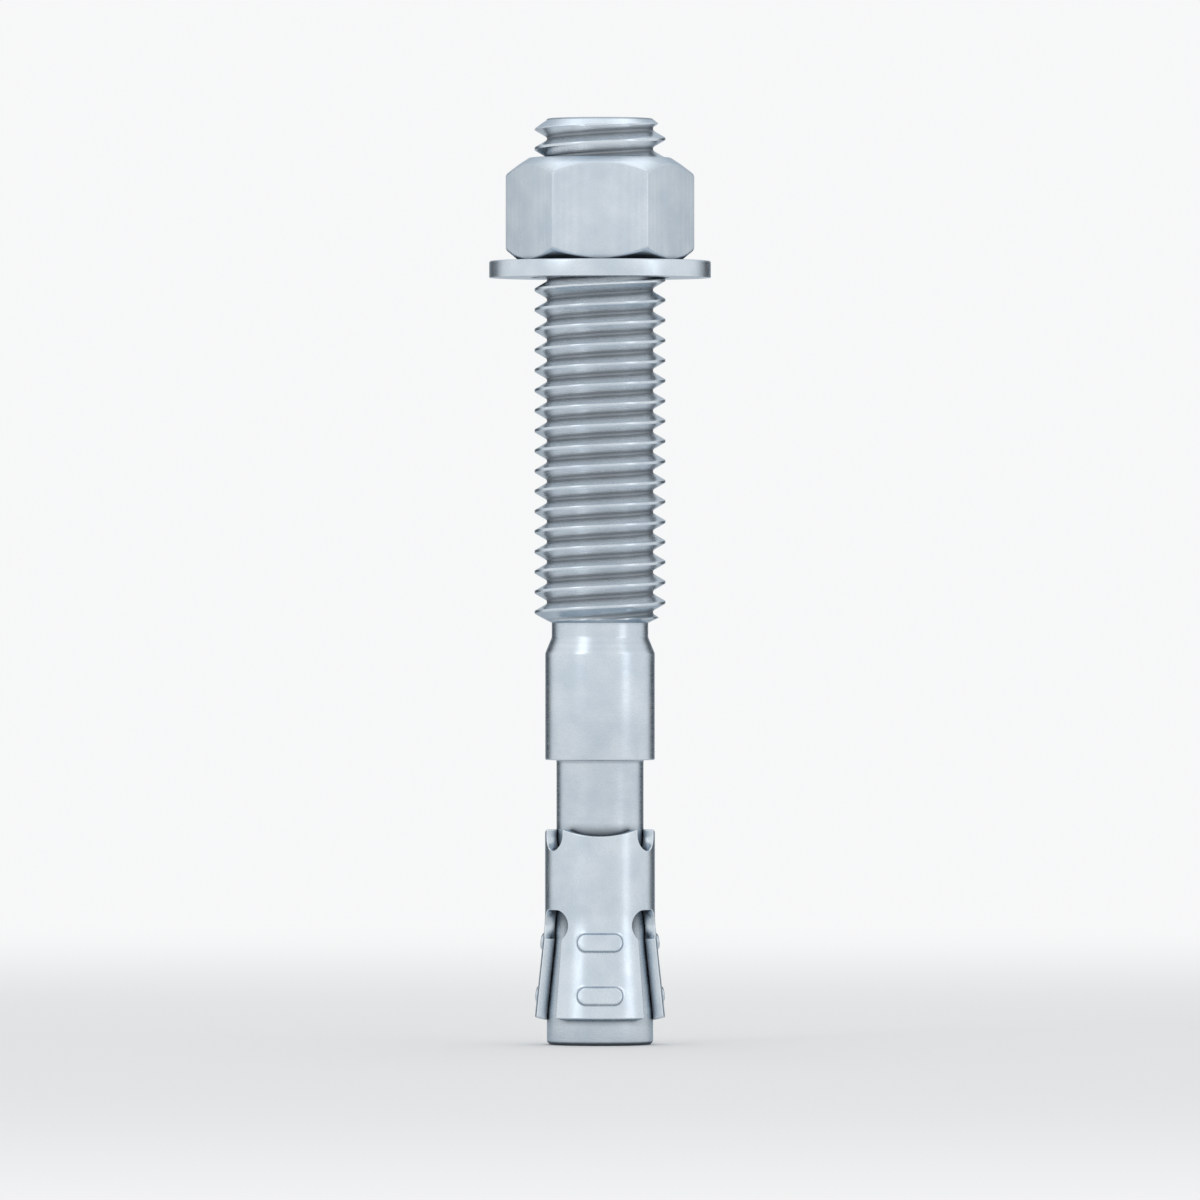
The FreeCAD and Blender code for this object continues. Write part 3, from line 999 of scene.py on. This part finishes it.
# Stage: metres, and degrees round the anchor from the front

BACKGROUND = (0.93, 0.935, 0.94, 1)
FLOOR_COLOUR = (0.86, 0.865, 0.87, 1)
FLOOR_RADIUS = 0.7
FLOOR_FADE = (0.06, 0.55)
FLOOR_SIDES = 96
CARD_COLOUR = (0.08, 0.084, 0.09, 1)
CARD_DISTANCE = 0.22
CARD_HEIGHT = 0.16
CARD_SPAN = (120, 168)
CARD_FADE = 0.35
SURROUND_LIGHT = 0.85


def make_floor():
    """A plain pale floor, lit near the anchor and fading into the background's own tone."""
    graph = Graph("pale_floor")
    where = graph.add("TexCoord").outputs["Object"]
    far = graph.add("VectorMath", {"operation": "LENGTH"}, _0=where).outputs["Value"]
    fade = graph.add(
        "MapRange", {"interpolation_type": "SMOOTHERSTEP"},
        Value=far, From_Min=FLOOR_FADE[0], From_Max=FLOOR_FADE[1]
    )
    graph.shader.inputs["Base Color"].default_value = FLOOR_COLOUR
    graph.shader.inputs["Roughness"].default_value = 0.9
    graph.shader.inputs["Specular IOR Level"].default_value = 0.1
    plain = graph.add("Emission", Color=BACKGROUND, Strength=1.0).outputs["Emission"]
    mixed = graph.add("MixShader", _0=fade.outputs["Result"], _1=graph.shader.outputs["BSDF"], _2=plain)
    graph.give(graph.tree.nodes["Material Output"].inputs["Surface"], mixed.outputs["Shader"])
    mesh = bpy.data.meshes.new("floor")
    rim = [around(FLOOR_RADIUS, angle, 0) for angle in even_angles(FLOOR_SIDES)]
    mesh.from_pydata(rim, [], [tuple(range(len(rim)))])
    mesh.materials.append(graph.material)
    floor = add_object("floor", mesh)


def make_card(side):
    """A dark card behind the anchor and to one side, which only reflections see, to draw its edges."""
    graph = Graph("dark_card")
    graph.shader.inputs["Base Color"].default_value = CARD_COLOUR
    graph.shader.inputs["Roughness"].default_value = 1.0
    where = graph.add("SeparateXYZ", Vector=graph.add("TexCoord").outputs["Generated"]).outputs
    left = graph.spread(where["X"], 0.0, CARD_FADE)
    right = graph.spread(where["X"], 1 - CARD_FADE, 1.0, 1.0, 0.0)
    top = graph.spread(where["Z"], 1 - CARD_FADE, 1.0, 1.0, 0.0)
    graph.give(graph.shader.inputs["Alpha"], graph.times(graph.times(left, right), top))
    near, far = math.radians(CARD_SPAN[0]), math.radians(CARD_SPAN[1])
    corners = [
        (side * CARD_DISTANCE * math.sin(turn), -CARD_DISTANCE * math.cos(turn), height)
        for turn, height in ((near, 0.0), (far, 0.0), (far, CARD_HEIGHT), (near, CARD_HEIGHT))
    ]
    mesh = bpy.data.meshes.new("card")
    mesh.from_pydata(corners, [], [(0, 1, 2, 3)])
    mesh.materials.append(graph.material)
    card = add_object("card", mesh)
    card.visible_camera = card.visible_diffuse = card.visible_shadow = card.visible_transmission = False


def make_world():
    """An even pale surround, at full strength where it is seen and softer where it lights."""
    world = bpy.data.worlds.new("studio")
    bpy.context.scene.world = world
    world.use_nodes = True
    nodes, links = world.node_tree.nodes, world.node_tree.links
    surround = nodes["Background"]
    surround.inputs["Color"].default_value = BACKGROUND
    rays = nodes.new("ShaderNodeLightPath").outputs
    seen = rays["Is Camera Ray"]
    for kind in ("Is Glossy Ray", "Is Transmission Ray"):
        either = nodes.new("ShaderNodeMath")
        either.operation = "MAXIMUM"
        links.new(seen, either.inputs[0])
        links.new(rays[kind], either.inputs[1])
        seen = either.outputs[0]
    strength = nodes.new("ShaderNodeMapRange")
    strength.inputs["To Min"].default_value = SURROUND_LIGHT
    strength.inputs["To Max"].default_value = 1.0
    links.new(seen, strength.inputs["Value"])
    links.new(strength.outputs["Result"], surround.inputs["Strength"])


# Lamps: their place, their size and the brightness of their face, white being one
LAMPS = {
    "key_lamp": ((-0.75, -0.8, 0.6), (0.4, 0.9), 0.86),
    "fill_lamp": ((0.9, -0.6, 0.35), (0.3, 0.8), 0.64),
    "top_lamp": ((0.0, 0.55, 1.0), (0.8, 0.5), 0.75),
}


def make_lamp(name, place, size, brightness):
    """A soft lamp that looks at the middle of the anchor."""
    lamp = bpy.data.lights.new(name, "AREA")
    lamp.shape = "RECTANGLE"
    lamp.size, lamp.size_y = size
    lamp.energy = brightness * math.pi * size[0] * size[1]
    holder = add_object(name, lamp)
    holder.location = place
    aim = Vector((0, 0, STUD_TOP * MM / 2)) - Vector(place)
    holder.rotation_euler = aim.to_track_quat("-Z", "Y").to_euler()


# Camera: where the photograph has the anchor, in pixels, and how far off it is seen from, in metres
PHOTO_SIZE = 1200
PHOTO_AXIS = 600
PHOTO_FOOT_ROW = 1044.5
MM_PER_PIXEL = 0.09698
CAMERA_DISTANCE = 1.4
CAMERA_REACH = 20


def make_camera():
    """A long lens square to the front, with the anchor where the photograph has it."""
    camera = bpy.data.cameras.new("camera")
    camera.lens = camera.sensor_width * CAMERA_DISTANCE / (PHOTO_SIZE * MM_PER_PIXEL * MM)
    camera.clip_end = CAMERA_REACH
    holder = add_object("camera", camera)
    x = (PHOTO_SIZE / 2 - PHOTO_AXIS) * MM_PER_PIXEL * MM
    z = (PHOTO_FOOT_ROW - PHOTO_SIZE / 2) * MM_PER_PIXEL * MM
    holder.location = (x, -CAMERA_DISTANCE, z)
    holder.rotation_euler = (math.pi / 2, 0, 0)
    bpy.context.scene.camera = holder


# Making

STUD_FINISH = Finish(
    grain=(0.12, 0.12, 1.6),
    roughness=0.27,
    turned=0.7,
    gaps=(CLIP_BOTTOM, CLIP_TOP),
    thread=(THREAD_BOTTOM, STUD_TOP),
)
CLIP_FINISH = Finish(grain=(1.2, 1.2, 0.2), roughness=0.26)
WASHER_FINISH = Finish(grain=(0.5, 0.5, 0.5), roughness=0.29)
NUT_FINISH = Finish(grain=(0.8, 0.8, 0.2), roughness=0.3, turned=0.5)

MAKERS = {
    "anchor_stud": (make_stud, "stud", "stud_plating", STUD_FINISH),
    "expansion_clip": (make_clip, "clip", "clip_plating", CLIP_FINISH),
    "washer": (make_washer, "washer", "washer_plating", WASHER_FINISH),
    "hex_nut": (make_nut, "nut", "nut_plating", NUT_FINISH),
}
for node, (maker, body, slot, finish) in MAKERS.items():
    piece = maker(zinc_plating(slot, finish))
    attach(piece, body)
    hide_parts(node)

make_floor()
make_world()
make_card(-1)
make_card(1)
for name, lamp in LAMPS.items():
    make_lamp(name, *lamp)
make_camera()
bpy.context.scene.view_settings.view_transform = "Standard"
